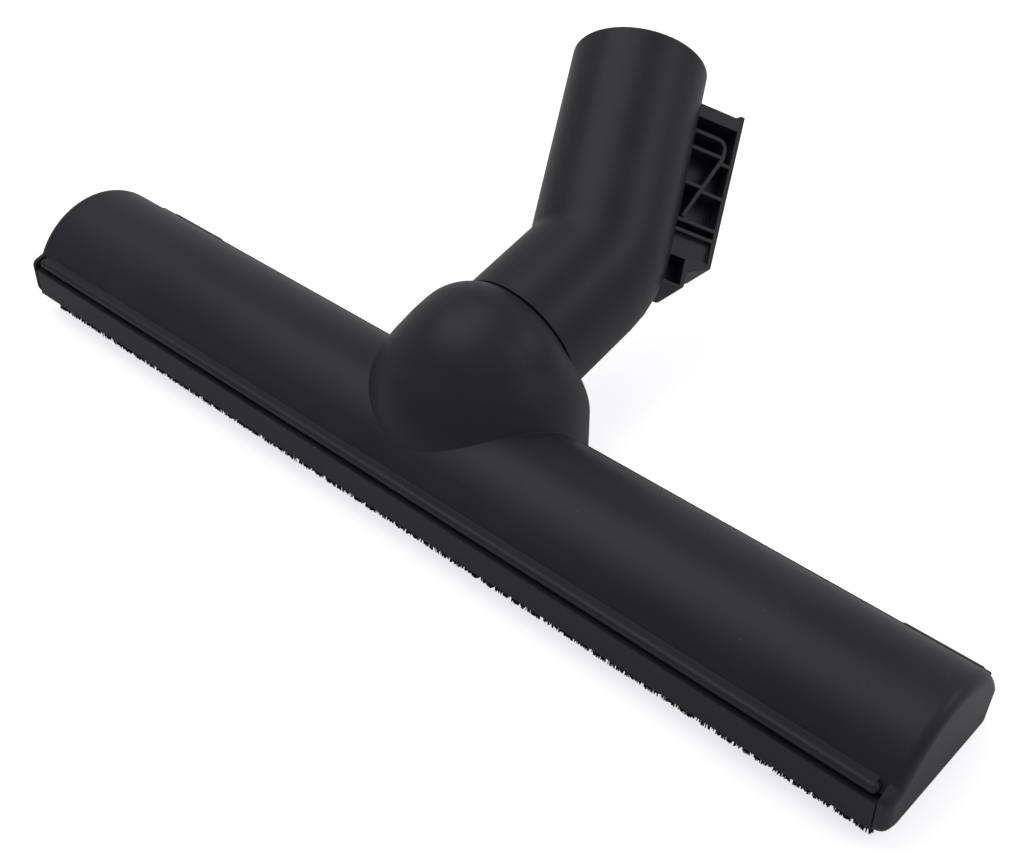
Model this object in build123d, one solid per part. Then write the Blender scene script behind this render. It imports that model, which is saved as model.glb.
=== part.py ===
"""Vacuum floor brush head: a half-barrel housing with a dome, a swivelling elbow and a brushed sole."""

from build123d import *
import os
from math import asin, cos, radians, sin, sqrt, tan

# Frame: X along the head, Y from front to back, Z up, floor at Z = 0, Y = 0 on the barrel's axis.
# All sizes are in millimetres and degrees.

# Housing
head_length = 300.0
barrel_radius = 23.5
axis_height = 7.0
shell_wall = 2.4
end_wall = 3.0
split_height = 16.5
end_foot_height = 5.5
end_foot_inset = 4.0
end_corner_radius = 3.0
end_chin_radius = 3.0
end_cheek_fall = 1.2
end_cheek_radius = 2.2
end_edge_radius = 2.8
bead_radius = 1.4
bead_setback = 0.2
bead_end_inset = 4.0

# Dome and neck
dome_swell = 10.4
dome_lead = 15.34
dome_drop = 8.8
neck_swell = 4.9
neck_nose_lead = 14.6
neck_shoulder_length = 10.8
neck_step = 0.4
dome_setback = 11.7
dome_lift = 8.8
dome_floor_wall = 2.4
neck_rise = 13.4
seam_distance = 17.6
seam_gap = 0.9
collar_length = 5.2
collar_wall = 2.3
neck_shoulder = 1.4
swivel_clearance = 0.05

# Elbow
swivel_at_rest = 49.0
tube_radius = 19.5
tube_wall = 3.0
socket_wall = 2.0
socket_depth = 40.0
bend_angle = 31.0
bend_radius = 24.0
neck_to_bend = 51.5
bend_to_mouth = 64.0
mouth_edge_radius = 0.8
spigot_wall = 2.6
spigot_lip = 0.6

# Retaining ring and seal ring on the spigot
ring_thickness = 1.8
ring_reach = 1.9
ring_depth = 1.15
ring_split = 7.0
ring_clearance = 0.3
groove_clearance = 0.05
seal_width = 2.2
seal_depth = 1.2
seal_inset = 3.0

# Parking hook on the outer side of the bend
hook_top = 8.0
hook_reach = 12.8
hook_draft = 1.4
hook_width = 14.0
hook_plate = 1.3
hook_plate_length = 47.8
hook_web = 2.0
hook_rib = 1.1
hook_top_wall = 4.1
hook_chamfer = 3.5
hook_lip = 1.1
hook_pocket_end = 39.2
hook_panel_depth = 1.5
hook_foot_reach = 4.6
hook_foot_length = 5.5
hook_foot_radius = 1.6
hook_ledge_level = 36.6
hook_winding_level = 8.7
hook_winding_reach = 8.6
hook_winding_turn = 13.9
hook_winding_end = 35.6
hook_winding_radius = 2.4
hook_inner_rib_levels = [13.9, 25.1]
hook_outer_rib_levels = [15.8, 26.3]

# Base plate
base_gap = 0.2
band_overhang = 0.7
band_bottom = 7.7
band_top = 15.9
band_wall = 2.6
band_corner_radius = 0.6
sole_wall = 2.4
shelf_top = 13.0
tongue_gap = 0.35
tongue_wall = 2.2
tongue_top = 19.0
mouth_end_inset = 55.0
mouth_front = -9.0
mouth_back = 5.0
mouth_corner_radius = 4.0
side_channel_depth = 1.2
side_channel_end_inset = 12.0
side_channel_inset = 1.0
dome_clearance = 0.3
dome_band_depth = 2.8

# Brush strips
strip_inset = 6.8
strip_width = 5.4
strip_height = 2.5
strip_neck_width = 4.0
strip_neck_height = 1.4
strip_clearance = 0.1
front_strip_end_inset = 5.0
rear_strip_gap = 5.5
tuft_pitch = 5.2
tuft_root = 3.2
tuft_flare = 6.5

# Rollers
roller_radius = 7.0
roller_width = 12.4
roller_end_inset = 16.5
roller_inset = 3.2
roller_box_width = 20.0
roller_box_wall = 1.1
roller_side_gap = 0.4
roller_rim_gap = 0.6
roller_box_foot = 5.5
tyre_depth = 1.6
hub_recess_depth = 2.2
hub_boss_radius = 2.9
hub_rim_wall = 1.2
axle_radius = 1.5
axle_end_inset = 0.4
axle_running_clearance = 0.06
axle_seat_clearance = 0.02

# Screws
front_screw_end_inset = 32.0
front_screw_gap = 5.4
rear_screw_end_inset = 45.0
rear_screw_y = 9.8
middle_screw_x = 42.0
boss_radius = 2.7
screw_head_radius = 2.5
screw_head_height = 1.3
screw_shank_radius = 1.2
screw_length = 10.0
screw_recess = 0.2
screw_clearance = 0.25
pilot_clearance = 0.05
pilot_extra = 1.0
driver_slot_width = 0.8
driver_slot_depth = 0.6

# Worked-out places
half_length = head_length / 2
inner_half_length = half_length - end_wall
inner_radius = barrel_radius - shell_wall
end_foot_half_depth = barrel_radius - end_foot_inset
bead_reach = barrel_radius - bead_setback
band_reach = barrel_radius + band_overhang
sole_top = band_bottom + sole_wall
tongue_face = sqrt(inner_radius**2 - (tongue_top - axis_height) ** 2) - tongue_gap
strip_offset = band_reach - strip_inset
front_screw_y = front_screw_gap - strip_offset
roller_setback = band_reach - roller_inset
mouth_half_length = half_length - mouth_end_inset
side_channel_end = half_length - side_channel_end_inset
roller_x = half_length - roller_end_inset
front_strip_half_length = half_length - front_strip_end_inset
rear_strip_half_length = roller_x - roller_box_width / 2 - rear_strip_gap
span = 4 * barrel_radius
cheek_top = split_height + 2 * bead_radius
dome_radius = tube_radius + dome_swell
dome_back = dome_setback + (seam_distance - dome_lead) * cos(radians(neck_rise))
dome_centre_height = tube_radius + dome_lift
dome_level = dome_centre_height - dome_drop
dome_front = band_reach - dome_band_depth
neck_centre = Vector(0, dome_setback, dome_centre_height)
neck_axis = Vector(0, cos(radians(neck_rise)), sin(radians(neck_rise)))
neck_radius = tube_radius + neck_swell
neck_nose = seam_distance - neck_nose_lead
dome_ball = Vector(0, dome_back, dome_level)
crown_rise = neck_centre + neck_axis * neck_nose - dome_ball
neck_shoulder_start = seam_distance - neck_shoulder_length
neck_drop = neck_swell - neck_step
neck_shoulder_radius = (neck_shoulder_length**2 + neck_drop**2) / (2 * neck_drop)
neck = Plane(origin=neck_centre, x_dir=(-1, 0, 0), z_dir=neck_axis)
elbow_frame = neck.location * Rot(0, 0, 90 - swivel_at_rest)
duct_radius = tube_radius - tube_wall
socket_radius = tube_radius - socket_wall
neck_bore_radius = tube_radius - neck_shoulder
collar_start = seam_distance - shell_wall - collar_length
spigot_radius = neck_bore_radius - swivel_clearance
spigot_bore = spigot_radius - spigot_wall
ring_radius = neck_bore_radius + ring_reach
ring_front = collar_start - ring_clearance
spigot_end = ring_front - ring_thickness - spigot_lip
screw_spots = [
    (half_length - front_screw_end_inset, front_screw_y),
    (half_length - rear_screw_end_inset, rear_screw_y),
    (middle_screw_x, rear_screw_y),
]
screw_places = [(side * x, y) for x, y in screw_spots for side in (-1, 1)]


def side_profile(face, half_width):
    """Extrude a face drawn in the Y-Z plane to both sides of the middle."""
    return extrude(Plane.YZ * face, amount=half_width, both=True)


def rod_along_x(radius, length, x, y, z):
    """A round bar along X, centred on the given point."""
    return Pos(x, y, z) * Rot(0, 90, 0) * Cylinder(radius, length)


def post(radius, height, x, y, z):
    """An upright round bar that stands on the given point."""
    return Pos(x, y, z) * Cylinder(radius, height, align=(Align.CENTER, Align.CENTER, Align.MIN))


def block(low, high):
    """A box between two corners."""
    return Box(
        high[0] - low[0], high[1] - low[1], high[2] - low[2], align=(Align.MIN, Align.MIN, Align.MIN)
    ).moved(Location(low))


def block_face(low, high):
    """A rectangle between two corners, in its own plane."""
    return Pos(low[0], low[1]) * Rectangle(high[0] - low[0], high[1] - low[1], align=(Align.MIN, Align.MIN))


def neck_disc(radius, start, end):
    """A cylinder on the neck axis, from one distance to another past the neck's centre."""
    return neck.location * post(radius, end - start, 0, 0, start)


def barrel_arc(front_height):
    """The barrel's arc in side view, from the split at the rear to a height at the front."""
    rear = (barrel_chord(split_height), split_height)
    front = (-barrel_chord(front_height), front_height)
    return ThreePointArc(rear, (0, axis_height + barrel_radius), front)


def barrel_chord(height):
    """Half the barrel's depth at a height."""
    return sqrt(barrel_radius**2 - (height - axis_height) ** 2)


def end_face():
    """Side view of an end plate: the barrel's arc, a front cheek as deep as the band, a drawn-in foot."""
    crown = barrel_arc(cheek_top)
    cheek = (-band_reach, cheek_top - end_cheek_fall)
    chin = (-band_reach, band_bottom)
    front_foot = (-end_foot_half_depth, end_foot_height)
    rear_foot = (end_foot_half_depth, end_foot_height)
    face = make_face([crown, Polyline(crown @ 1, cheek, chin, front_foot, rear_foot, crown @ 0)])
    roundings = (
        (cheek, end_cheek_radius),
        (chin, end_chin_radius),
        (front_foot, end_corner_radius),
        (rear_foot, end_corner_radius),
    )
    for place, radius in roundings:
        face = fillet(face.vertices().sort_by_distance(place)[0], radius)
    return face


def end_plate(side):
    """One end wall, rounded along its outer rim."""
    plate = extrude(Plane.YZ * end_face(), side * end_wall)
    outer = plate.faces().filter_by(Axis.X).sort_by(Axis((0, 0, 0), (side, 0, 0)))[-1]
    return Pos(side * inner_half_length, 0, 0) * fillet(outer.edges(), end_edge_radius)


def bead():
    """The half-round bead along the front edge, with rounded tips."""
    centre_y = bead_radius - bead_reach
    centre_z = split_height + bead_radius
    length = 2 * (half_length - bead_end_inset - bead_radius)
    rod = rod_along_x(bead_radius, length, 0, centre_y, centre_z)
    web_depth = bead_reach - bead_radius - inner_radius * cos(radians(45))
    web = Pos(0, centre_y + web_depth / 2, centre_z) * Box(length, web_depth, 2 * bead_radius)
    tips = [Pos(x, centre_y, centre_z) * Sphere(bead_radius) for x in (-length / 2, length / 2)]
    return rod + web + tips


def neck_form(inset):
    """The round-nosed neck with its rounded shoulder, turned about the neck axis."""
    radius = neck_radius - inset
    arc_radius = neck_shoulder_radius - inset
    arc_axis = neck_radius - neck_shoulder_radius
    turn = asin((seam_distance - inset - neck_shoulder_start) / arc_radius)
    half = radius * cos(radians(45))
    nose = ThreePointArc((0, neck_nose - radius), (half, neck_nose - half), (radius, neck_nose))
    side = Line((radius, neck_nose), (radius, neck_shoulder_start))
    bends = [
        (arc_axis + arc_radius * cos(angle), neck_shoulder_start + arc_radius * sin(angle))
        for angle in (0, turn / 2, turn)
    ]
    shoulder = ThreePointArc(*bends)
    close = Polyline(bends[2], (0, bends[2][1]), (0, neck_nose - radius))
    return neck.location * revolve(Plane.XZ * make_face([nose, side, shoulder, close]), Axis.Z)


def dome_crown(inset):
    """The ball of the dome and the ball of the neck's nose, joined by the cone that touches both."""
    big = dome_radius - inset
    small = neck_radius - inset
    rise = crown_rise.length
    lean = asin((big - small) / rise)
    half_turn = (lean + radians(90)) / 2
    cone = Line((big * cos(lean), big * sin(lean)), (small * cos(lean), rise + small * sin(lean)))
    lower = ThreePointArc((0, -big), (big, 0), cone @ 0)
    upper = ThreePointArc(cone @ 1, (small * cos(half_turn), rise + small * sin(half_turn)), (0, rise + small))
    face = make_face([lower, cone, upper, Line(upper @ 1, lower @ 0)])
    crown = Plane(origin=dome_ball, x_dir=(1, 0, 0), z_dir=crown_rise)
    return crown.location * revolve(Plane.XZ * face, Axis.Z)


def dome_form(inset):
    """The rounded crown on upright walls with the neck on it, inset from their outer faces."""
    walls = Pos(dome_ball) * post(dome_radius - inset, span, 0, 0, -span)
    return walls + dome_crown(inset) + neck_form(inset)


def dome(inset, floor):
    """The dome cut flat at the neck, at its floor, and in front of the rear wall below the split."""
    face_distance = seam_distance - inset
    ball = dome_form(inset) - neck_disc(span, face_distance, face_distance + span)
    ball -= block((-span, -span, -2 * span), (span, span, floor))
    return ball - block((-span, -span, -span), (span, dome_front, split_height))


def upper_housing():
    """Barrel shell with end walls, bead, dome, neck collar and screw bosses, as one moulding."""
    crown = barrel_arc(split_height)
    barrel_face = make_face([crown, Line(crown @ 1, crown @ 0)])
    body = side_profile(barrel_face, inner_half_length)
    body += [end_plate(-1), end_plate(1), bead()]
    body += dome(0, band_bottom)

    hollow = rod_along_x(inner_radius, 2 * inner_half_length, 0, 0, axis_height)
    hollow += dome(shell_wall, band_bottom + dome_floor_wall)
    body -= hollow
    collar = neck_disc(neck_bore_radius + collar_wall, collar_start, seam_distance - shell_wall / 2)
    body += collar - block((-span, -span, -span), (span, span, band_bottom))
    body -= neck_disc(neck_bore_radius, 0, seam_distance + span)

    envelope = rod_along_x(barrel_radius - shell_wall / 2, head_length, 0, 0, axis_height)
    pilot_radius = screw_shank_radius + pilot_clearance
    for x, y in screw_places:
        body += post(boss_radius, span, x, y, sole_top) & envelope
        body -= post(pilot_radius, screw_length + pilot_extra, x, y, band_bottom)
    return body


def brush_channel(side, half_length_x):
    """The T-shaped channel that a brush backing slides into."""
    y = side * strip_offset
    half_neck = strip_neck_width / 2 + strip_clearance
    half_wide = strip_width / 2 + strip_clearance
    shoulder = band_bottom + strip_neck_height - strip_clearance
    roof = band_bottom + strip_neck_height + strip_height + strip_clearance
    end = half_length_x + strip_clearance
    slot = block((-end, y - half_neck, 0), (end, y + half_neck, roof))
    return slot + block((-end, y - half_wide, shoulder), (end, y + half_wide, roof))


def roller_box(side):
    """Rounded box behind the band that covers one roller."""
    radius = roller_radius + roller_rim_gap + roller_box_wall
    shell = rod_along_x(radius, roller_box_width, side * roller_x, roller_setback, roller_radius)
    return shell - block((-head_length, -span, -span), (head_length, span, roller_box_foot))


def roller_pocket(side):
    """The space that one roller turns in, open below."""
    radius = roller_radius + roller_rim_gap
    width = roller_width + 2 * roller_side_gap
    x = side * roller_x
    drum = rod_along_x(radius, width, x, roller_setback, roller_radius)
    low = (x - width / 2, roller_setback - radius, -roller_radius)
    high = (x + width / 2, roller_setback + radius, roller_radius)
    return drum + block(low, high)


def base_plate():
    """Sole with band, tongues, suction mouth, brush channels and roller boxes."""
    length = 2 * (inner_half_length - base_gap)
    plan = RectangleRounded(length, 2 * band_reach, band_corner_radius)
    inner_depth = 2 * (band_reach - band_wall)
    inside = Rectangle(length - 2 * band_wall, inner_depth)
    plate = Pos(0, 0, band_bottom) * extrude(plan, band_top - band_bottom)
    plate -= Pos(0, 0, shelf_top) * extrude(inside, span)
    tongue_end = length / 2 - band_wall
    tongue_back = tongue_face - tongue_wall
    plate -= block((-tongue_end, -tongue_back, sole_top), (tongue_end, tongue_back, span))
    for side in (-1, 1):
        low, high = sorted((side * tongue_face, side * tongue_back))
        plate += block((-tongue_end, low, sole_top), (tongue_end, high, tongue_top))
        plate += roller_box(side)

    mouth_length = 2 * mouth_half_length
    mouth_depth = mouth_back - mouth_front
    mouth_y = (mouth_back + mouth_front) / 2
    mouth = RectangleRounded(mouth_length, mouth_depth, mouth_corner_radius)
    plate -= Pos(0, mouth_y, 0) * extrude(mouth, span)
    channel = RectangleRounded(
        2 * side_channel_end, mouth_depth - 2 * side_channel_inset, mouth_corner_radius
    )
    plate -= Pos(0, mouth_y, 0) * extrude(channel, band_bottom + side_channel_depth)
    plate -= brush_channel(-1, front_strip_half_length)
    plate -= brush_channel(1, rear_strip_half_length)
    for side in (-1, 1):
        plate -= roller_pocket(side)
        hole_radius = axle_radius + axle_seat_clearance
        hole_length = roller_box_width - 2 * axle_end_inset
        plate -= rod_along_x(hole_radius, hole_length, side * roller_x, roller_setback, roller_radius)

    rear_gap = block((-span, dome_front - dome_clearance, -span), (span, span, span))
    plate -= dome_form(-dome_clearance) & rear_gap
    seat = band_bottom + screw_recess + screw_head_height
    for x, y in screw_places:
        plate -= post(screw_shank_radius + screw_clearance, span, x, y, 0)
        plate -= post(screw_head_radius + screw_clearance, seat, x, y, 0)
    return plate


def brush_backing(side, half_length_x):
    """Plastic strip of T section that carries one row of tufts."""
    y = side * strip_offset
    shoulder = band_bottom + strip_neck_height
    foot = block((-half_length_x, y - strip_neck_width / 2, band_bottom),
                 (half_length_x, y + strip_neck_width / 2, shoulder))
    return foot + block((-half_length_x, y - strip_width / 2, shoulder),
                        (half_length_x, y + strip_width / 2, shoulder + strip_height))


def bristle_row(side, half_length_x):
    """Row of flared square tufts that hang from a backing down to the floor."""
    count = int((2 * half_length_x - tuft_root) / tuft_pitch) + 1
    first = -tuft_pitch * (count - 1) / 2
    tuft = extrude(Rectangle(tuft_root, tuft_root), -band_bottom, taper=-tuft_flare)
    places = [Pos(first + i * tuft_pitch, side * strip_offset, band_bottom) for i in range(count)]
    return Compound(children=[place * tuft for place in places])


def roller_hub(side):
    """Plastic hub, dished on both faces around its boss."""
    x = side * roller_x
    rim = roller_radius - tyre_depth
    hub = rod_along_x(rim, roller_width, x, roller_setback, roller_radius)
    dish_radius = rim - hub_rim_wall
    for face in (-1, 1):
        dish_x = x + face * (roller_width - hub_recess_depth) / 2
        dish = rod_along_x(dish_radius, hub_recess_depth, dish_x, roller_setback, roller_radius)
        hub -= dish - rod_along_x(hub_boss_radius, hub_recess_depth, dish_x, roller_setback, roller_radius)
    bore = axle_radius + axle_running_clearance
    return hub - rod_along_x(bore, roller_width, x, roller_setback, roller_radius)


def roller_tyre(side):
    """Soft ring round a hub, rounded at its edges."""
    x = side * roller_x
    tyre = rod_along_x(roller_radius, roller_width, x, roller_setback, roller_radius)
    tyre = fillet(tyre.edges().filter_by(GeomType.CIRCLE), tyre_depth / 2)
    inner = roller_radius - tyre_depth + axle_seat_clearance
    return tyre - rod_along_x(inner, roller_width, x, roller_setback, roller_radius)


def roller_axle(side):
    """Steel pin through the roller, held at both ends in the roller box."""
    length = roller_box_width - 2 * axle_end_inset
    return rod_along_x(axle_radius, length, side * roller_x, roller_setback, roller_radius)


def screw(x, y):
    """Slotted pan-head screw from below into a housing boss."""
    head_z = band_bottom + screw_recess
    head = post(screw_head_radius, screw_head_height, x, y, head_z)
    shank = post(screw_shank_radius, screw_length, x, y, head_z)
    slot = Pos(x, y, head_z) * Box(2 * screw_head_radius, driver_slot_width, 2 * driver_slot_depth)
    return head + shank - slot


def elbow_path(start):
    """Centre line of the elbow in its own frame: up the neck axis, round the bend, out to the mouth."""
    reach = bend_radius * tan(radians(bend_angle / 2))
    corner = Vector(0, 0, neck_to_bend)
    outward = Vector(sin(radians(bend_angle)), 0, cos(radians(bend_angle)))
    lower = Line((0, 0, start), corner - Vector(0, 0, reach))
    bend = TangentArc([lower @ 1, corner + outward * reach], tangent=(0, 0, 1))
    upper = Line(bend @ 1, corner + outward * bend_to_mouth)
    return lower + bend + upper


def mouth_plane():
    """Plane of the tube's mouth: x out from the bend, y up the tube, z across the hook."""
    outward = Vector(sin(radians(bend_angle)), 0, cos(radians(bend_angle)))
    away = Vector(-cos(radians(bend_angle)), 0, sin(radians(bend_angle)))
    mouth = Vector(0, 0, neck_to_bend) + outward * bend_to_mouth
    return Plane(origin=mouth, x_dir=away, z_dir=away.cross(outward))


def plate_reach_at(level):
    """How far out the hook's plate stands at a level below the hook's top."""
    return tube_radius + hook_reach - hook_draft * level / hook_plate_length


def hook_outline():
    """Side view of the parking hook: a long plate with a lip, a sloped end and a foot."""
    root = duct_radius
    outer = plate_reach_at(0)
    top = -hook_top
    plate_end = top - hook_plate_length
    foot_end = plate_end - hook_chamfer - hook_foot_length
    foot = tube_radius + hook_foot_reach
    points = [
        (root, top),
        (outer - 2 * hook_plate, top),
        (outer - hook_plate, top + hook_lip),
        (outer, top + hook_lip),
        (plate_reach_at(hook_plate_length), plate_end),
        (foot, plate_end - hook_chamfer),
        (foot, foot_end),
        (root, foot_end),
    ]
    face = make_face(Polyline(*points, close=True))
    corner = face.vertices().sort_by_distance((foot, foot_end))[0]
    return fillet(corner, hook_foot_radius)


def winding_reach_at(level):
    """How far out the winding rib stands at a level below the hook's top."""
    if level <= hook_winding_turn:
        return hook_winding_reach
    return hook_winding_reach * (hook_winding_end - level) / (hook_winding_end - hook_winding_turn)


def hook_ribs():
    """The thin ribs inside the hook: one winding rib, the cross ribs on either side and the ledge."""
    top = -hook_top
    root = duct_radius
    outer = tube_radius + hook_reach
    knee = tube_radius + hook_winding_reach
    winding = FilletPolyline(
        (root, top - hook_winding_level),
        (knee, top - hook_winding_level),
        (knee, top - hook_winding_turn),
        (tube_radius, top - hook_winding_end),
        radius=hook_winding_radius,
    )
    lines = [Line((root, top - hook_ledge_level), (outer, top - hook_ledge_level))]
    for level in hook_inner_rib_levels:
        lines.append(Line((root, top - level), (tube_radius + winding_reach_at(level), top - level)))
    for level in hook_outer_rib_levels:
        lines.append(Line((tube_radius + winding_reach_at(level), top - level), (outer, top - level)))
    return [trace(winding, hook_rib)] + [trace(line, hook_rib) for line in lines]


def hook_cell(start, end):
    """Outline inside the hook's plate between two levels below the hook's top."""
    top = -hook_top
    corners = [
        (duct_radius, top - start),
        (plate_reach_at(start) - hook_plate, top - start),
        (plate_reach_at(end) - hook_plate, top - end),
        (duct_radius, top - end),
    ]
    return make_face(Polyline(*corners, close=True))


def hook_hollows():
    """Outlines of the ribbed pocket, the shallow panel below it and the foot's recess."""
    pocket = hook_cell(hook_top_wall, hook_pocket_end)
    for strip in hook_ribs():
        pocket -= strip
    panel = hook_cell(hook_pocket_end + hook_rib, hook_plate_length - hook_rib)
    foot_top = -hook_top - hook_plate_length
    foot_end = foot_top - hook_chamfer - hook_foot_length + hook_rib
    foot_face = tube_radius + hook_foot_reach - hook_plate
    foot = block_face((duct_radius, foot_end), (foot_face, foot_top))
    return pocket, panel, foot


def parking_hook():
    """Hook with hollows sunk from both sides to a middle web, crossed by ribs."""
    plane = mouth_plane()
    body = extrude(plane * hook_outline(), hook_width / 2, both=True)
    pocket, panel, foot = hook_hollows()
    deep = (hook_width - hook_web) / 2
    for side in (-1, 1):
        side_face = plane * Pos(0, 0, side * hook_width / 2)
        for hollow, depth in ((pocket, deep), (panel, hook_panel_depth), (foot, deep)):
            body -= side_face * extrude(hollow, -side * depth)
    return body


def swivel_elbow():
    """Bent tube with spigot, wand socket and parking hook, as one moulding."""
    shoulder = seam_distance + seam_gap
    path = elbow_path(shoulder)
    section = Plane.XY.offset(shoulder)
    tube = sweep(section * Circle(tube_radius), path=path)
    tube += parking_hook()
    tube -= sweep(section * Circle(duct_radius), path=path)
    mouth = Plane(origin=path @ 1, z_dir=path % 1)
    tube -= mouth.location * Cylinder(socket_radius, 2 * socket_depth)
    tube = fillet(tube.faces().sort_by_distance(path @ 1)[0].edges(), mouth_edge_radius)

    tube += post(spigot_radius, shoulder - spigot_end, 0, 0, spigot_end)
    tube -= post(spigot_bore, shoulder - spigot_end, 0, 0, spigot_end)
    tube -= ring_blank(ring_front - ring_thickness, ring_thickness, ring_depth, groove_clearance)
    seal_start = seam_distance - seal_inset - seal_width
    tube -= ring_blank(seal_start, seal_width, seal_depth, groove_clearance)
    return elbow_frame * tube


def ring_blank(start, width, depth, spare):
    """Plain ring round the spigot, sunk into its wall by a depth; spare makes it a groove."""
    height = width + 2 * spare
    disc = post(2 * spigot_radius, height, 0, 0, start - spare)
    return disc - post(spigot_radius - depth - spare, height, 0, 0, start - spare)


def swivel_retaining_ring():
    """Split ring in the spigot's end groove, behind the collar."""
    limit = Cylinder(ring_radius, 2 * span)
    ring = ring_blank(ring_front - ring_thickness, ring_thickness, ring_depth, 0) & limit
    gap = Pos(0, ring_radius, 0) * Box(ring_split, 2 * ring_radius, 2 * span)
    return elbow_frame * (ring - gap)


def neck_seal_ring():
    """Seal in the spigot's groove, running in the collar's bore."""
    limit = Cylinder(spigot_radius + swivel_clearance / 2, 2 * span)
    seal_start = seam_distance - seal_inset - seal_width
    return elbow_frame * (ring_blank(seal_start, seal_width, seal_depth, 0) & limit)


pieces = {
    "upper_housing": upper_housing(),
    "base_plate": base_plate(),
    "swivel_elbow": swivel_elbow(),
    "swivel_retaining_ring": swivel_retaining_ring(),
    "neck_seal_ring": neck_seal_ring(),
    "front_brush_backing": brush_backing(-1, front_strip_half_length),
    "rear_brush_backing": brush_backing(1, rear_strip_half_length),
    "front_bristles": bristle_row(-1, front_strip_half_length),
    "rear_bristles": bristle_row(1, rear_strip_half_length),
    "base_screws": Compound(children=[screw(x, y) for x, y in screw_places]),
}
for name, side in (("left", -1), ("right", 1)):
    pieces[f"{name}_roller_hub"] = roller_hub(side)
    pieces[f"{name}_roller_tyre"] = roller_tyre(side)
    pieces[f"{name}_roller_axle"] = roller_axle(side)

os.makedirs("parts", exist_ok=True)
for name, shape in pieces.items():
    export_step(shape, f"parts/{name}.step")
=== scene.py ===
"""Finishes a vacuum floor brush head and sets it on a pale studio stage."""

import math
import random

import bmesh
import bpy
from bpy.props import FloatProperty, FloatVectorProperty, IntProperty, PointerProperty
from bpy.types import Operator, Panel, PropertyGroup
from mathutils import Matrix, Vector


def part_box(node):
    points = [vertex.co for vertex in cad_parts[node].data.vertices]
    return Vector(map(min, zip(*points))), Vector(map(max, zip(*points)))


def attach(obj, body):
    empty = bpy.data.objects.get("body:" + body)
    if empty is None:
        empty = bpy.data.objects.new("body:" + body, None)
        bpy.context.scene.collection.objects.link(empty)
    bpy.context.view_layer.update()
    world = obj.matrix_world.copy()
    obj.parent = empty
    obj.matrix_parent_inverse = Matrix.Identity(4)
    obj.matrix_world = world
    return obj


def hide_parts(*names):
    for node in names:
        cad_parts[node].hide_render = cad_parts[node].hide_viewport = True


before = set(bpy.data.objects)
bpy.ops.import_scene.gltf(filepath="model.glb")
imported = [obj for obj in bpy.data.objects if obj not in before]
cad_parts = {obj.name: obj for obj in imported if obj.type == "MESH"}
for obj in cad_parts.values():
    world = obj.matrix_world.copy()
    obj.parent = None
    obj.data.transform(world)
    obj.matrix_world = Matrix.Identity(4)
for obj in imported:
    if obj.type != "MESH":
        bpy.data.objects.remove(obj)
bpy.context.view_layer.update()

bl_info = {
    "name": "Floor Brush Head",
    "version": (1, 0, 0),
    "blender": (4, 5, 0),
    "location": "View3D > Sidebar > Brush Head",
    "description": "Finishes a vacuum floor brush head and sets it on a pale studio stage",
    "category": "Object",
}

MM = 0.001

# Moulded plastic: how much of each mark shows, and how far colour and gloss drift
DRIFT_RANGE = (0.3, 0.7)
TONE_DRIFT = 0.12
GLOSS_DRIFT = 0.10
GRAIN_SHOW = 0.6
# Edges: painted highlight, the base colour made lighter along sharp edges where they catch the light
EDGE_HIGHLIGHT_SHOW = 0.5
EDGE_HIGHLIGHT_GAIN = 2.8
EDGE_TURN = (0.02, 0.25)
SPECK_SHOW = 0.5
SPECK_LEAST_SIZE = 0.35
SPECK_LEAST_STRENGTH = 0.3
SCUFF_SHOW = 0.25
SCUFF_DULLNESS = 0.12

# Scuffs: turn and stretch of each set, level of the noise that makes a line, and patches a metre
SCUFF_COURSES = ((0.18, 0.03), (-0.5, 0.045), (1.1, 0.04))
SCUFF_LINE = (0.69, 0.76)
SCUFF_PATCHES = 55.0
SCUFF_PATCH_TOP = 0.78
SCUFF_PATCH_SPAN = 0.4

# Rubber, nylon and metal
PLAIN_PATCH = 5 * MM
PLAIN_TONE_DRIFT = 0.2
PLAIN_GLOSS_DRIFT = 0.15
PLAIN_GRAIN_SHOW = 0.5

# Filaments: lengths and sides of their mesh, and how much less they stray along Y than along X
FILAMENT_STEPS = 2
FILAMENT_SIDES = 3
STRAY_ALONG_Y = 0.4

# Floor and room
FLOOR_HALF_WIDTH = 2.5
FLOOR_PATCH = 60 * MM
FLOOR_DRIFT = 0.02
SKY_TINT = (0.93, 0.945, 1.0, 1.0)

# Places and aims of the softboxes, in metres
OVERHEAD_PLACE = (-0.30, -0.10, 0.87)
OVERHEAD_AIM = (0.0, 0.02, 0.0)
SIDE_PLACE = (0.55, 0.42, 0.55)
SIDE_AIM = (0.45, 0.30, 0.0)


def colour(name, description, default):
    """A colour that a user may change, in linear light."""
    return FloatVectorProperty(
        name=name, description=description, subtype="COLOR", size=3, min=0.0, max=1.0, default=default
    )


def length(name, description, millimetres):
    """A length that a user may change."""
    return FloatProperty(
        name=name, description=description, subtype="DISTANCE", unit="LENGTH", default=millimetres * MM
    )


def share(name, description, default):
    """A share from nothing to all."""
    return FloatProperty(
        name=name, description=description, subtype="FACTOR", min=0.0, max=1.0, default=default
    )


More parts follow.
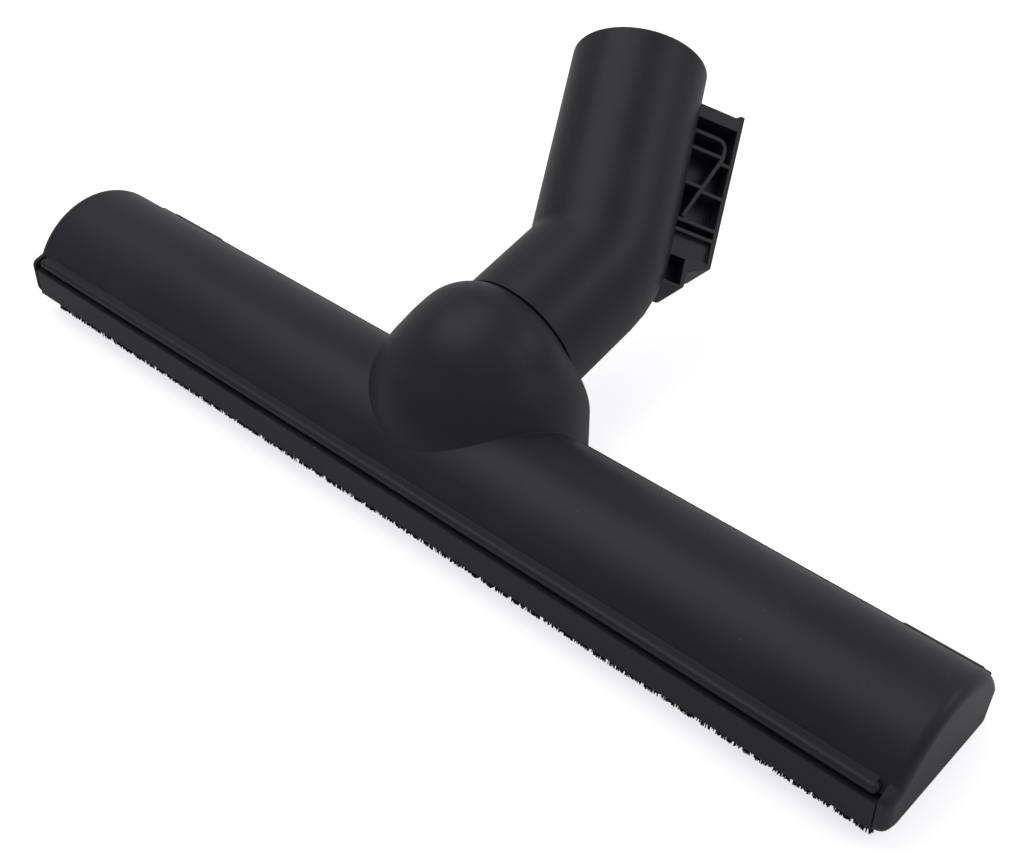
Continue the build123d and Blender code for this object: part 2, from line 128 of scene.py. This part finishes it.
class FinishSettings(PropertyGroup):
    """Colours and surface marks of the pieces."""

    charcoal: colour("Charcoal", "Colour of the housing and the elbow", (0.0240, 0.0228, 0.0292))
    sole_charcoal: colour("Sole Charcoal", "Colour of the sole plate", (0.0225, 0.0215, 0.0272))
    backing_black: colour("Backing Black", "Colour of the extruded brush backings", (0.008, 0.008, 0.009))
    nylon_black: colour("Nylon Black", "Colour of the bristle filaments", (0.006, 0.006, 0.0066))
    hub_grey: colour("Hub Grey", "Colour of the roller hubs", (0.035, 0.035, 0.038))
    rubber_black: colour("Rubber Black", "Colour of the tyres and the seal", (0.014, 0.014, 0.014))
    clip_white: colour("Clip White", "Colour of the retaining ring", (0.62, 0.60, 0.54))
    zinc: colour("Zinc", "Colour of the plated screws", (0.62, 0.62, 0.60))
    steel: colour("Steel", "Colour of the roller pins", (0.56, 0.56, 0.57))
    dust: colour("Dust", "Colour of specks and scuffs", (0.16, 0.155, 0.16))
    grain_size: length("Grain Size", "Size of the moulded surface grain", 0.45)
    grain_depth: length("Grain Depth", "Depth of the moulded surface grain", 0.03)
    edge_radius: length("Edge Radius", "Radius that the light sees on moulded edges", 0.35)
    dust_amount: share("Dust Amount", "How many specks lie on the plastic", 0.35)
    scuff_amount: share("Scuff Amount", "How many fine scuffs mark the plastic", 0.35)


class BristleSettings(PropertyGroup):
    """Filaments of the two bristle rows."""

    tuft_pitch: length("Tuft Pitch", "Distance between tufts", 5.2)
    tuft_root: length("Tuft Root", "Width of a tuft where it leaves its backing", 3.2)
    tuft_tip: length("Tuft Tip", "Width of a tuft at the floor", 4.9)
    filament: length("Filament", "Thickness of a filament", 0.30)
    tip_scatter: length("Tip Scatter", "How much the cut ends differ in height", 0.25)
    splay: length("Splay", "How far a filament strays sideways", 0.2)
    count: IntProperty(name="Filaments", description="Filaments in a tuft", default=230, min=1)
    seed: IntProperty(name="Seed", description="Start of the random draws", default=7)


class StageSettings(PropertyGroup):
    """Camera, floor and lamps."""

    aim: FloatVectorProperty(
        name="Aim", description="Point that the camera looks at", subtype="XYZ", unit="LENGTH",
        default=(4.154 * MM, 23.0 * MM, 7.0 * MM),
    )
    azimuth: FloatProperty(
        name="Azimuth", description="Turn of the camera round the head", subtype="ANGLE",
        default=math.radians(42.04),
    )
    elevation: FloatProperty(
        name="Elevation", description="Height of the camera above the horizon", subtype="ANGLE",
        default=math.radians(39.60),
    )
    distance: length("Distance", "Distance of the camera from its aim", 422.9)
    lens: FloatProperty(
        name="Lens", description="Focal length in millimetres on a 36 mm sensor", default=54.505, min=1.0
    )
    floor: colour("Floor", "Colour of the floor", (0.88, 0.88, 0.89))
    sky: FloatProperty(name="Sky", description="Strength of the room's soft light", default=0.36, min=0.0)
    sky_lean: share("Sky Lean", "How much brighter the room is behind the head than in front of it", 0.32)
    glow: FloatProperty(name="Glow", description="Extra white of the floor in view", default=0.72, min=0.0)
    lamp: FloatProperty(name="Lamp", description="Watts of the overhead softbox", default=1.9, min=0.0)
    lamp_size: length("Lamp Size", "Side of the overhead softbox", 800)
    side_lamp: FloatProperty(
        name="Side Lamp", description="Watts of the softbox beyond the right end", default=0.6, min=0.0
    )
    side_lamp_size: length("Side Lamp Size", "Side of the softbox beyond the right end", 450)


class BrushHeadSettings(PropertyGroup):
    """All settings of the brush head."""

    finish: PointerProperty(type=FinishSettings)
    bristles: PointerProperty(type=BristleSettings)
    stage: PointerProperty(type=StageSettings)


class Wiring:
    """Adds nodes to one tree: an input given as a socket is linked, one given as a value is set."""

    def __init__(self, tree):
        self.tree = tree

    def add(self, kind, inputs=None, **settings):
        """One node with its settings and inputs."""
        node = self.tree.nodes.new(kind)
        for name, value in settings.items():
            setattr(node, name, value)
        for key, value in (inputs or {}).items():
            if isinstance(value, bpy.types.NodeSocket):
                self.tree.links.new(value, node.inputs[key])
            else:
                node.inputs[key].default_value = value
        return node

    def math(self, operation, first, second=0.0, clamp=False):
        """The result of one sum."""
        node = self.add("ShaderNodeMath", {0: first, 1: second}, operation=operation, use_clamp=clamp)
        return node.outputs[0]

    def ramp(self, value, low, high):
        """Smooth step of a value from 0 at low to 1 at high."""
        inputs = {"Value": value, "From Min": low, "From Max": high}
        node = self.add("ShaderNodeMapRange", inputs, interpolation_type="SMOOTHSTEP")
        return node.outputs["Result"]

    def blend(self, share_of_second, first, second):
        """Mix of two colours."""
        node = self.add("ShaderNodeMix", {"Factor": share_of_second}, data_type="RGBA")
        for socket, value in ((node.inputs[6], first), (node.inputs[7], second)):
            if isinstance(value, bpy.types.NodeSocket):
                self.tree.links.new(value, socket)
            else:
                socket.default_value = value
        return node.outputs[2]


def opaque(rgb, gain=1.0):
    """A colour with alpha, made lighter or darker by a gain."""
    return (rgb[0] * gain, rgb[1] * gain, rgb[2] * gain, 1.0)


def effect_group(name, inputs, outputs):
    """An empty shader node group with named sockets, and its way in and out."""
    tree = bpy.data.node_groups.new(name, "ShaderNodeTree")
    for label, default in inputs.items():
        socket = tree.interface.new_socket(label, in_out="INPUT", socket_type="NodeSocketFloat")
        socket.default_value = default
    for label, kind in outputs.items():
        tree.interface.new_socket(label, in_out="OUTPUT", socket_type=kind)
    bench = Wiring(tree)
    return bench, bench.add("NodeGroupInput").outputs, bench.add("NodeGroupOutput")


def mould_grain():
    """Fine eroded grain of a moulding: its height and a slow drift of its gloss."""
    bench, given, result = effect_group(
        "Mould Grain",
        {"Size": 0.45 * MM, "Patch": 22 * MM},
        {"Height": "NodeSocketFloat", "Drift": "NodeSocketFloat"},
    )
    place = bench.add("ShaderNodeTexCoord").outputs["Object"]
    fine_scale = bench.math("DIVIDE", 1.0, given["Size"])
    slow_scale = bench.math("DIVIDE", 1.0, given["Patch"])
    fine = bench.add("ShaderNodeTexNoise", {"Vector": place, "Scale": fine_scale, "Detail": 3.0})
    fine.inputs["Roughness"].default_value = 0.6
    slow = bench.add("ShaderNodeTexNoise", {"Vector": place, "Scale": slow_scale, "Detail": 4.0})
    bench.tree.links.new(fine.outputs["Fac"], result.inputs["Height"])
    bench.tree.links.new(slow.outputs["Fac"], result.inputs["Drift"])
    return bench.tree


def dust_specks():
    """Scattered tiny specks as a mask."""
    bench, given, result = effect_group(
        "Dust Specks", {"Spacing": 4 * MM, "Radius": 0.05, "Amount": 0.3}, {"Mask": "NodeSocketFloat"}
    )
    place = bench.add("ShaderNodeTexCoord").outputs["Object"]
    scale = bench.math("DIVIDE", 1.0, given["Spacing"])
    cells = bench.add("ShaderNodeTexVoronoi", {"Vector": place, "Scale": scale})
    lot = bench.add("ShaderNodeSeparateColor", {"Color": cells.outputs["Color"]}).outputs
    chosen = bench.math("LESS_THAN", lot["Red"], given["Amount"])
    size = bench.math("MULTIPLY", given["Radius"], bench.math("ADD", lot["Green"], SPECK_LEAST_SIZE))
    inside = bench.math("LESS_THAN", cells.outputs["Distance"], size)
    shown = bench.math("MULTIPLY", chosen, inside)
    strength = bench.math("MULTIPLY", bench.math("ADD", lot["Blue"], SPECK_LEAST_STRENGTH), shown)
    bench.tree.links.new(strength, result.inputs["Mask"])
    return bench.tree


def handling_scuffs():
    """Short fine scuffs, most of them along the head, gathered in patches, as a mask."""
    bench, given, result = effect_group(
        "Handling Scuffs", {"Width": 0.3 * MM, "Amount": 0.35}, {"Mask": "NodeSocketFloat"}
    )
    place = bench.add("ShaderNodeTexCoord").outputs["Object"]
    fine_scale = bench.math("DIVIDE", 1.0, given["Width"])
    patches = bench.add("ShaderNodeTexNoise", {"Vector": place, "Scale": SCUFF_PATCHES, "Detail": 2.0})
    span = bench.math("MULTIPLY", given["Amount"], SCUFF_PATCH_SPAN)
    threshold = bench.math("SUBTRACT", SCUFF_PATCH_TOP, span)
    gate = bench.ramp(patches.outputs["Fac"], threshold, SCUFF_PATCH_TOP)
    marks = None
    for turn, stretch in SCUFF_COURSES:
        turned = bench.add("ShaderNodeMapping", {"Vector": place, "Rotation": (turn, turn, turn)})
        turned.inputs["Scale"].default_value = (stretch, 1.0, 1.0)
        course = turned.outputs["Vector"]
        lines = bench.add("ShaderNodeTexNoise", {"Vector": course, "Scale": fine_scale, "Detail": 1.0})
        mark = bench.ramp(lines.outputs["Fac"], *SCUFF_LINE)
        marks = mark if marks is None else bench.math("MAXIMUM", marks, mark)
    bench.tree.links.new(bench.math("MULTIPLY", marks, gate), result.inputs["Mask"])
    return bench.tree


def soft_edge():
    """Rounded normal on sharp edges, and a mask of where the edges are."""
    bench, given, result = effect_group(
        "Soft Edge", {"Radius": 0.35 * MM}, {"Normal": "NodeSocketVector", "Edge": "NodeSocketFloat"}
    )
    rounded = bench.add("ShaderNodeBevel", {"Radius": given["Radius"]}, samples=6).outputs["Normal"]
    flat = bench.add("ShaderNodeNewGeometry").outputs["Normal"]
    likeness = bench.add("ShaderNodeVectorMath", {0: rounded, 1: flat}, operation="DOT_PRODUCT")
    edge = bench.ramp(bench.math("SUBTRACT", 1.0, likeness.outputs["Value"]), *EDGE_TURN)
    bench.tree.links.new(rounded, result.inputs["Normal"])
    bench.tree.links.new(edge, result.inputs["Edge"])
    return bench.tree


def effect(name, maker):
    """A node group that is built once and then shared."""
    return bpy.data.node_groups.get(name) or maker()


def new_material(name):
    """A material with a Principled BSDF, its wiring and that shader."""
    material = bpy.data.materials.new(name)
    material.use_nodes = True
    bench = Wiring(material.node_tree)
    return material, bench, material.node_tree.nodes["Principled BSDF"]


def moulded_plastic(name, rgb, roughness, specular=0.36):
    """Satin moulded plastic with grain, slow gloss drift, specks, scuffs, softened edges and a painted
    highlight along sharp edges.
    """
    finish = bpy.context.scene.brush_head.finish
    material, bench, shader = new_material(name)
    link = bench.tree.links.new
    grains = bench.add("ShaderNodeGroup", node_tree=effect("Mould Grain", mould_grain))
    grains.inputs["Size"].default_value = finish.grain_size
    specks = bench.add("ShaderNodeGroup", node_tree=effect("Dust Specks", dust_specks))
    specks.inputs["Amount"].default_value = finish.dust_amount
    scuffs = bench.add("ShaderNodeGroup", node_tree=effect("Handling Scuffs", handling_scuffs))
    scuffs.inputs["Amount"].default_value = finish.scuff_amount
    edges = bench.add("ShaderNodeGroup", node_tree=effect("Soft Edge", soft_edge))
    edges.inputs["Radius"].default_value = finish.edge_radius

    drift = grains.outputs["Drift"]
    patches = bench.ramp(drift, *DRIFT_RANGE)
    ground = bench.blend(patches, opaque(rgb, 1 - TONE_DRIFT), opaque(rgb, 1 + TONE_DRIFT))
    # Painted highlight: the base colour is made lighter along sharp edges, where they catch the light
    edge = bench.math("MULTIPLY", edges.outputs["Edge"], EDGE_HIGHLIGHT_SHOW)
    painted_edge_highlight = bench.blend(edge, ground, opaque(rgb, EDGE_HIGHLIGHT_GAIN))
    scuff = bench.math("MULTIPLY", scuffs.outputs["Mask"], SCUFF_SHOW)
    scuffed = bench.blend(scuff, painted_edge_highlight, opaque(finish.dust))
    speck = bench.math("MULTIPLY", specks.outputs["Mask"], SPECK_SHOW)
    link(bench.blend(speck, scuffed, opaque(finish.dust)), shader.inputs["Base Color"])
    change = bench.math("MULTIPLY", bench.math("SUBTRACT", drift, 0.5), GLOSS_DRIFT)
    gloss = bench.math("ADD", change, roughness)
    dullness = bench.math("MULTIPLY", scuffs.outputs["Mask"], SCUFF_DULLNESS)
    link(bench.math("ADD", gloss, dullness, clamp=True), shader.inputs["Roughness"])
    bump = bench.add("ShaderNodeBump", {"Height": grains.outputs["Height"], "Strength": GRAIN_SHOW})
    link(edges.outputs["Normal"], bump.inputs["Normal"])
    bump.inputs["Distance"].default_value = finish.grain_depth
    link(bump.outputs["Normal"], shader.inputs["Normal"])
    shader.inputs["Specular IOR Level"].default_value = specular
    return material


def plain_surface(name, rgb, roughness, metallic=0.0, grain_size=0.3 * MM, depth=0.01 * MM):
    """Rubber, nylon or metal with a fine grain and a slow drift of colour and gloss."""
    material, bench, shader = new_material(name)
    link = bench.tree.links.new
    grains = bench.add("ShaderNodeGroup", node_tree=effect("Mould Grain", mould_grain))
    grains.inputs["Size"].default_value = grain_size
    grains.inputs["Patch"].default_value = PLAIN_PATCH
    drift = grains.outputs["Drift"]
    tone = bench.blend(drift, opaque(rgb, 1 - PLAIN_TONE_DRIFT), opaque(rgb, 1 + PLAIN_TONE_DRIFT))
    link(tone, shader.inputs["Base Color"])
    change = bench.math("MULTIPLY", bench.math("SUBTRACT", drift, 0.5), PLAIN_GLOSS_DRIFT)
    gloss = bench.math("ADD", change, roughness, clamp=True)
    link(gloss, shader.inputs["Roughness"])
    bump = bench.add("ShaderNodeBump", {"Height": grains.outputs["Height"], "Strength": PLAIN_GRAIN_SHOW})
    bump.inputs["Distance"].default_value = depth
    link(bump.outputs["Normal"], shader.inputs["Normal"])
    shader.inputs["Metallic"].default_value = metallic
    return material


def dress(node, material):
    """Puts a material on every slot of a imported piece."""
    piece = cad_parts[node]
    piece.data.materials.clear()
    piece.data.materials.append(material)


def filament(mesh, start, end, bow, thickness):
    """One thin filament from its root to its cut end."""
    rings = []
    for step in range(FILAMENT_STEPS + 1):
        way = step / FILAMENT_STEPS
        middle = start.lerp(end, way) + bow * math.sin(math.pi * way * 0.5) * way
        ring = []
        for corner in range(FILAMENT_SIDES):
            angle = 2 * math.pi * corner / FILAMENT_SIDES
            offset = Vector((math.cos(angle), math.sin(angle), 0)) * thickness / 2
            ring.append(mesh.verts.new(middle + offset))
        rings.append(ring)
    for upper, lower in zip(rings, rings[1:]):
        for corner in range(FILAMENT_SIDES):
            following = (corner + 1) % FILAMENT_SIDES
            mesh.faces.new((upper[corner], lower[corner], lower[following], upper[following]))
    mesh.faces.new(rings[-1])
    mesh.faces.new(reversed(rings[0]))


def bristle_row(name, node, material):
    """A row of tufts of separate filaments in the place of a plain bristle node."""
    settings = bpy.context.scene.brush_head.bristles
    draw = random.Random(settings.seed)
    low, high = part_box(node)
    middle_y = (low.y + high.y) / 2
    root_z = high.z + settings.filament
    reach = high.x - settings.tuft_tip / 2
    gaps = round((high.x - low.x - settings.tuft_tip) / settings.tuft_pitch)
    mesh = bmesh.new()
    for tuft in range(gaps + 1):
        x = -reach + tuft * 2 * reach / gaps
        for _ in range(settings.count):
            across = Vector((draw.uniform(-0.5, 0.5), draw.uniform(-0.5, 0.5), 0))
            start = Vector((x, middle_y, root_z)) + across * (settings.tuft_root - settings.filament)
            spread = across * (settings.tuft_tip - settings.filament)
            end = Vector((x, middle_y, low.z + draw.random() ** 2 * settings.tip_scatter)) + spread
            stray = Vector((draw.uniform(-1, 1), draw.uniform(-STRAY_ALONG_Y, STRAY_ALONG_Y), 0))
            filament(mesh, start, end, stray * settings.splay, settings.filament)
    data = bpy.data.meshes.new(name)
    mesh.to_mesh(data)
    mesh.free()
    data.materials.append(material)
    piece = bpy.data.objects.new(name, data)
    bpy.context.scene.collection.objects.link(piece)
    for polygon in data.polygons:
        polygon.use_smooth = len(polygon.vertices) == 4
    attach(piece, "head")
    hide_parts(node)


class BRUSHHEAD_OT_upper_housing(Operator):
    """Give the barrel and its dome their satin charcoal finish"""

    bl_idname = "brush_head.upper_housing"
    bl_label = "Upper Housing"

    def execute(self, context):
        finish = context.scene.brush_head.finish
        dress("upper_housing", moulded_plastic("Housing Charcoal", finish.charcoal, roughness=0.41))
        return {"FINISHED"}


class BRUSHHEAD_OT_base_plate(Operator):
    """Give the sole plate its plainer charcoal finish"""

    bl_idname = "brush_head.base_plate"
    bl_label = "Base Plate"

    def execute(self, context):
        finish = context.scene.brush_head.finish
        dress("base_plate", moulded_plastic("Sole Charcoal", finish.sole_charcoal, roughness=0.5))
        return {"FINISHED"}


class BRUSHHEAD_OT_swivel_elbow(Operator):
    """Finish the swivel elbow with its parking hook, its seal and its retaining ring"""

    bl_idname = "brush_head.swivel_elbow"
    bl_label = "Swivel Elbow"

    def execute(self, context):
        finish = context.scene.brush_head.finish
        dress("swivel_elbow", moulded_plastic("Elbow Charcoal", finish.charcoal, roughness=0.39))
        dress("neck_seal_ring", plain_surface("Seal Rubber", finish.rubber_black, roughness=0.7))
        dress("swivel_retaining_ring", plain_surface("Ring Nylon", finish.clip_white, roughness=0.45))
        return {"FINISHED"}


class BRUSHHEAD_OT_brush_strips(Operator):
    """Finish the brush backings and plant the bristle filaments"""

    bl_idname = "brush_head.brush_strips"
    bl_label = "Brush Strips"

    def execute(self, context):
        finish = context.scene.brush_head.finish
        backing = plain_surface("Backing Black", finish.backing_black, roughness=0.42)
        nylon = plain_surface("Bristle Nylon", finish.nylon_black, roughness=0.38)
        for row in ("front", "rear"):
            dress(f"{row}_brush_backing", backing)
            bristle_row(f"{row}_bristle_filaments", f"{row}_bristles", nylon)
        return {"FINISHED"}


class BRUSHHEAD_OT_rollers(Operator):
    """Finish the rear rollers and their pins"""

    bl_idname = "brush_head.rollers"
    bl_label = "Rollers"

    def execute(self, context):
        finish = context.scene.brush_head.finish
        hub = plain_surface("Hub Plastic", finish.hub_grey, roughness=0.45)
        tyre = plain_surface("Tyre Rubber", finish.rubber_black, roughness=0.75)
        pin = plain_surface("Pin Steel", finish.steel, roughness=0.28, metallic=1.0)
        for side in ("left", "right"):
            dress(f"{side}_roller_hub", hub)
            dress(f"{side}_roller_tyre", tyre)
            dress(f"{side}_roller_axle", pin)
        return {"FINISHED"}


class BRUSHHEAD_OT_base_screws(Operator):
    """Finish the screws that hold the sole plate"""

    bl_idname = "brush_head.base_screws"
    bl_label = "Base Screws"

    def execute(self, context):
        finish = context.scene.brush_head.finish
        dress("base_screws", plain_surface("Zinc Plate", finish.zinc, roughness=0.32, metallic=1.0))
        return {"FINISHED"}


def softbox(name, place, aim, size, power):
    """A square lamp that faces a point."""
    data = bpy.data.lights.new(name, "AREA")
    data.size = size
    data.energy = power
    lamp = bpy.data.objects.new(name, data)
    lamp.location = place
    lamp.rotation_euler = (Vector(aim) - Vector(place)).to_track_quat("-Z", "Y").to_euler()
    bpy.context.scene.collection.objects.link(lamp)


class BRUSHHEAD_OT_stage(Operator):
    """Lay the pale floor, hang the lamps and set the camera"""

    bl_idname = "brush_head.stage"
    bl_label = "Stage"

    def execute(self, context):
        stage = context.scene.brush_head.stage
        self.lay_floor(stage)
        self.light(context.scene, stage)
        self.set_camera(context.scene, stage)
        return {"FINISHED"}

    def lay_floor(self, stage):
        """A wide pale sheet under the head."""
        material, bench, shader = new_material("Pale Floor")
        grains = bench.add("ShaderNodeGroup", node_tree=effect("Mould Grain", mould_grain))
        grains.inputs["Patch"].default_value = FLOOR_PATCH
        darker = opaque(stage.floor, 1 - FLOOR_DRIFT)
        lighter = opaque(stage.floor, 1 + FLOOR_DRIFT)
        tint = bench.blend(grains.outputs["Drift"], darker, lighter)
        bench.tree.links.new(tint, shader.inputs["Base Color"])
        bench.tree.links.new(tint, shader.inputs["Emission Color"])
        seen = bench.add("ShaderNodeLightPath").outputs["Is Camera Ray"]
        glow = bench.math("MULTIPLY", seen, stage.glow / stage.floor[0])
        bench.tree.links.new(glow, shader.inputs["Emission Strength"])
        shader.inputs["Roughness"].default_value = 0.9
        half = FLOOR_HALF_WIDTH
        data = bpy.data.meshes.new("stage_floor")
        corners = [(-half, -half, 0), (half, -half, 0), (half, half, 0), (-half, half, 0)]
        data.from_pydata(corners, [], [(0, 1, 2, 3)])
        data.materials.append(material)
        floor = bpy.data.objects.new("stage_floor", data)
        bpy.context.scene.collection.objects.link(floor)

    def light(self, scene, stage):
        """Soft room light, a large softbox above to the left, and a small one beyond the right end."""
        world = bpy.data.worlds.new("Studio")
        world.use_nodes = True
        bench = Wiring(world.node_tree)
        background = world.node_tree.nodes["Background"]
        background.inputs["Color"].default_value = SKY_TINT
        heading = bench.add("ShaderNodeTexCoord").outputs["Generated"]
        behind = bench.add("ShaderNodeSeparateXYZ", {"Vector": heading}).outputs["Y"]
        leaning = bench.math("MULTIPLY", behind, stage.sky * stage.sky_lean)
        room = bench.math("ADD", leaning, stage.sky)
        seen = bench.add("ShaderNodeLightPath").outputs["Is Camera Ray"]
        bench.tree.links.new(bench.math("MAXIMUM", room, seen), background.inputs["Strength"])
        scene.world = world
        scene.view_settings.view_transform = "Standard"
        softbox("Overhead Softbox", OVERHEAD_PLACE, OVERHEAD_AIM, stage.lamp_size, stage.lamp)
        softbox("Side Softbox", SIDE_PLACE, SIDE_AIM, stage.side_lamp_size, stage.side_lamp)

    def set_camera(self, scene, stage):
        """The camera at the product's usual three-quarter view."""
        data = bpy.data.cameras.new("View")
        data.lens = stage.lens
        data.clip_start = 0.01
        camera = bpy.data.objects.new("View", data)
        level = math.cos(stage.elevation)
        back = Vector((
            math.sin(stage.azimuth) * level, -math.cos(stage.azimuth) * level, math.sin(stage.elevation)
        ))
        camera.location = Vector(stage.aim) + back * stage.distance
        camera.rotation_euler = (-back).to_track_quat("-Z", "Y").to_euler()
        scene.collection.objects.link(camera)
        scene.camera = camera


class BRUSHHEAD_PT_panel(Panel):
    """Lists the pieces of the brush head"""

    bl_idname = "BRUSHHEAD_PT_panel"
    bl_label = "Brush Head"
    bl_space_type = "VIEW_3D"
    bl_region_type = "UI"
    bl_category = "Brush Head"

    def draw(self, context):
        for operator in OPERATORS:
            self.layout.operator(operator.bl_idname)


OPERATORS = (
    BRUSHHEAD_OT_upper_housing,
    BRUSHHEAD_OT_base_plate,
    BRUSHHEAD_OT_swivel_elbow,
    BRUSHHEAD_OT_brush_strips,
    BRUSHHEAD_OT_rollers,
    BRUSHHEAD_OT_base_screws,
    BRUSHHEAD_OT_stage,
)
SETTINGS = (FinishSettings, BristleSettings, StageSettings, BrushHeadSettings)
CLASSES = SETTINGS + OPERATORS + (BRUSHHEAD_PT_panel,)


def register():
    """Adds the settings, the operators and the panel."""
    for kind in CLASSES:
        bpy.utils.register_class(kind)
    bpy.types.Scene.brush_head = PointerProperty(type=BrushHeadSettings)


def unregister():
    """Takes the settings, the operators and the panel away again."""
    del bpy.types.Scene.brush_head
    for kind in reversed(CLASSES):
        bpy.utils.unregister_class(kind)


def main():
    """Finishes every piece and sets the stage."""
    register()
    bpy.ops.brush_head.upper_housing()
    bpy.ops.brush_head.base_plate()
    bpy.ops.brush_head.swivel_elbow()
    bpy.ops.brush_head.brush_strips()
    bpy.ops.brush_head.rollers()
    bpy.ops.brush_head.base_screws()
    bpy.ops.brush_head.stage()


if __name__ == "__main__":
    main()
